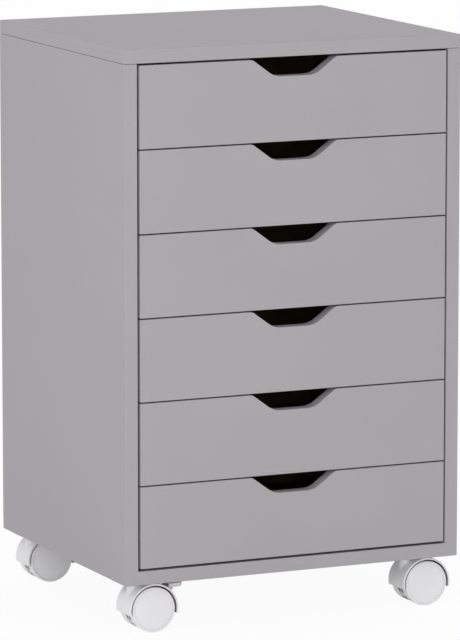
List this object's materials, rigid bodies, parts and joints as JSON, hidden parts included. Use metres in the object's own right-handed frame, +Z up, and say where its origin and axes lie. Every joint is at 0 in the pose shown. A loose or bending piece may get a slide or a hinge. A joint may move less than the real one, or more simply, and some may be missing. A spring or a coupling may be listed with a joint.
{
  "type": "drawer cabinet on casters",
  "caption": "Wheeled cabinet with a stack of flush drawers, each opened by a hand cut-out in its front, standing on twin-wheel casters.",
  "frame": {"origin": "on the floor, under the middle of the cabinet", "axes": "+Z up, +X to the right as seen from the front, +Y to the back; the drawers open along -Y"},
  "size_m": [0.4, 0.35, 0.637],
  "materials": {
    "grey_lacquered_board": "satin grey lacquer on fibreboard",
    "birch_plywood": "clear matt lacquer",
    "hardboard": "smooth grey-brown hardboard",
    "beech": "fluted dowel, bare",
    "white_plastic": "matt",
    "caster_plastic": "satin white",
    "zinc_steel": "zinc plated"
  },
  "bodies": {
    "cabinet": {"top_panel": "grey_lacquered_board", "bottom_panel": "grey_lacquered_board", "left_side_panel": "grey_lacquered_board", "right_side_panel": "grey_lacquered_board", "back_panel": "hardboard", "carcass_dowels": "beech", "cam_bolts": "zinc_steel", "cam_locks": "zinc_steel", "drawer_runners": "white_plastic", "runner_screws": "zinc_steel", "caster_plates": "zinc_steel", "caster_screws": "zinc_steel"},
    "drawer_1": {"drawer_1_front": "grey_lacquered_board", "drawer_1_sides": "birch_plywood", "drawer_1_back": "birch_plywood", "drawer_1_base": "hardboard", "drawer_1_dowels": "beech"},
    "drawer_2": {"drawer_2_front": "grey_lacquered_board", "drawer_2_sides": "birch_plywood", "drawer_2_back": "birch_plywood", "drawer_2_base": "hardboard", "drawer_2_dowels": "beech"},
    "drawer_3": {"drawer_3_front": "grey_lacquered_board", "drawer_3_sides": "birch_plywood", "drawer_3_back": "birch_plywood", "drawer_3_base": "hardboard", "drawer_3_dowels": "beech"},
    "drawer_4": {"drawer_4_front": "grey_lacquered_board", "drawer_4_sides": "birch_plywood", "drawer_4_back": "birch_plywood", "drawer_4_base": "hardboard", "drawer_4_dowels": "beech"},
    "drawer_5": {"drawer_5_front": "grey_lacquered_board", "drawer_5_sides": "birch_plywood", "drawer_5_back": "birch_plywood", "drawer_5_base": "hardboard", "drawer_5_dowels": "beech"},
    "drawer_6": {"drawer_6_front": "grey_lacquered_board", "drawer_6_sides": "birch_plywood", "drawer_6_back": "birch_plywood", "drawer_6_base": "hardboard", "drawer_6_dowels": "beech"},
    "caster_front_left": {"caster_front_left_hood": "caster_plastic", "caster_front_left_axle": "zinc_steel"},
    "wheel_front_left_near": {"caster_front_left_near_wheel": "caster_plastic"},
    "wheel_front_left_far": {"caster_front_left_far_wheel": "caster_plastic"},
    "caster_front_right": {"caster_front_right_hood": "caster_plastic", "caster_front_right_axle": "zinc_steel"},
    "wheel_front_right_near": {"caster_front_right_near_wheel": "caster_plastic"},
    "wheel_front_right_far": {"caster_front_right_far_wheel": "caster_plastic"},
    "caster_rear_left": {"caster_rear_left_hood": "caster_plastic", "caster_rear_left_axle": "zinc_steel"},
    "wheel_rear_left_near": {"caster_rear_left_near_wheel": "caster_plastic"},
    "wheel_rear_left_far": {"caster_rear_left_far_wheel": "caster_plastic"},
    "caster_rear_right": {"caster_rear_right_hood": "caster_plastic", "caster_rear_right_axle": "zinc_steel"},
    "wheel_rear_right_near": {"caster_rear_right_near_wheel": "caster_plastic"},
    "wheel_rear_right_far": {"caster_rear_right_far_wheel": "caster_plastic"},
    "pedal_front_left": {"brake_pedal_front_left": "caster_plastic"},
    "pedal_rear_left": {"brake_pedal_rear_left": "caster_plastic"}
  },
  "joints": [
    {"name": "drawer_1_slide", "type": "slide", "parent": "cabinet", "child": "drawer_1", "axis": [0, -1, 0], "range_m": [0, 0.24]},
    {"name": "drawer_2_slide", "type": "slide", "parent": "cabinet", "child": "drawer_2", "axis": [0, -1, 0], "range_m": [0, 0.24]},
    {"name": "drawer_3_slide", "type": "slide", "parent": "cabinet", "child": "drawer_3", "axis": [0, -1, 0], "range_m": [0, 0.24]},
    {"name": "drawer_4_slide", "type": "slide", "parent": "cabinet", "child": "drawer_4", "axis": [0, -1, 0], "range_m": [0, 0.24]},
    {"name": "drawer_5_slide", "type": "slide", "parent": "cabinet", "child": "drawer_5", "axis": [0, -1, 0], "range_m": [0, 0.24]},
    {"name": "drawer_6_slide", "type": "slide", "parent": "cabinet", "child": "drawer_6", "axis": [0, -1, 0], "range_m": [0, 0.24]},
    {"name": "swivel_front_left", "type": "hinge", "parent": "cabinet", "child": "caster_front_left", "pos_m": [-0.1775, -0.1415, 0.041], "axis": [0, 0, 1], "continuous": true},
    {"name": "roll_front_left_near", "type": "hinge", "parent": "caster_front_left", "child": "wheel_front_left_near", "pos_m": [-0.16, -0.1539, 0.025], "axis": [0, 1, 0], "continuous": true},
    {"name": "roll_front_left_far", "type": "hinge", "parent": "caster_front_left", "child": "wheel_front_left_far", "pos_m": [-0.16, -0.1291, 0.025], "axis": [0, 1, 0], "continuous": true},
    {"name": "swivel_front_right", "type": "hinge", "parent": "cabinet", "child": "caster_front_right", "pos_m": [0.1525, -0.1415, 0.041], "axis": [0, 0, 1], "continuous": true},
    {"name": "roll_front_right_near", "type": "hinge", "parent": "caster_front_right", "child": "wheel_front_right_near", "pos_m": [0.17, -0.1539, 0.025], "axis": [0, 1, 0], "continuous": true},
    {"name": "roll_front_right_far", "type": "hinge", "parent": "caster_front_right", "child": "wheel_front_right_far", "pos_m": [0.17, -0.1291, 0.025], "axis": [0, 1, 0], "continuous": true},
    {"name": "swivel_rear_left", "type": "hinge", "parent": "cabinet", "child": "caster_rear_left", "pos_m": [-0.1775, 0.1465, 0.041], "axis": [0, 0, 1], "continuous": true},
    {"name": "roll_rear_left_near", "type": "hinge", "parent": "caster_rear_left", "child": "wheel_rear_left_near", "pos_m": [-0.16, 0.1341, 0.025], "axis": [0, 1, 0], "continuous": true},
    {"name": "roll_rear_left_far", "type": "hinge", "parent": "caster_rear_left", "child": "wheel_rear_left_far", "pos_m": [-0.16, 0.1589, 0.025], "axis": [0, 1, 0], "continuous": true},
    {"name": "swivel_rear_right", "type": "hinge", "parent": "cabinet", "child": "caster_rear_right", "pos_m": [0.1525, 0.1465, 0.041], "axis": [0, 0, 1], "continuous": true},
    {"name": "roll_rear_right_near", "type": "hinge", "parent": "caster_rear_right", "child": "wheel_rear_right_near", "pos_m": [0.17, 0.1341, 0.025], "axis": [0, 1, 0], "continuous": true},
    {"name": "roll_rear_right_far", "type": "hinge", "parent": "caster_rear_right", "child": "wheel_rear_right_far", "pos_m": [0.17, 0.1589, 0.025], "axis": [0, 1, 0], "continuous": true},
    {"name": "brake_front_left", "type": "hinge", "parent": "caster_front_left", "child": "pedal_front_left", "pos_m": [-0.14738, -0.1415, 0.04302], "axis": [0, 1, 0], "range_deg": [0, 8]},
    {"name": "brake_rear_left", "type": "hinge", "parent": "caster_rear_left", "child": "pedal_rear_left", "pos_m": [-0.14738, 0.1465, 0.04302], "axis": [0, 1, 0], "range_deg": [0, 8]}
  ]
}
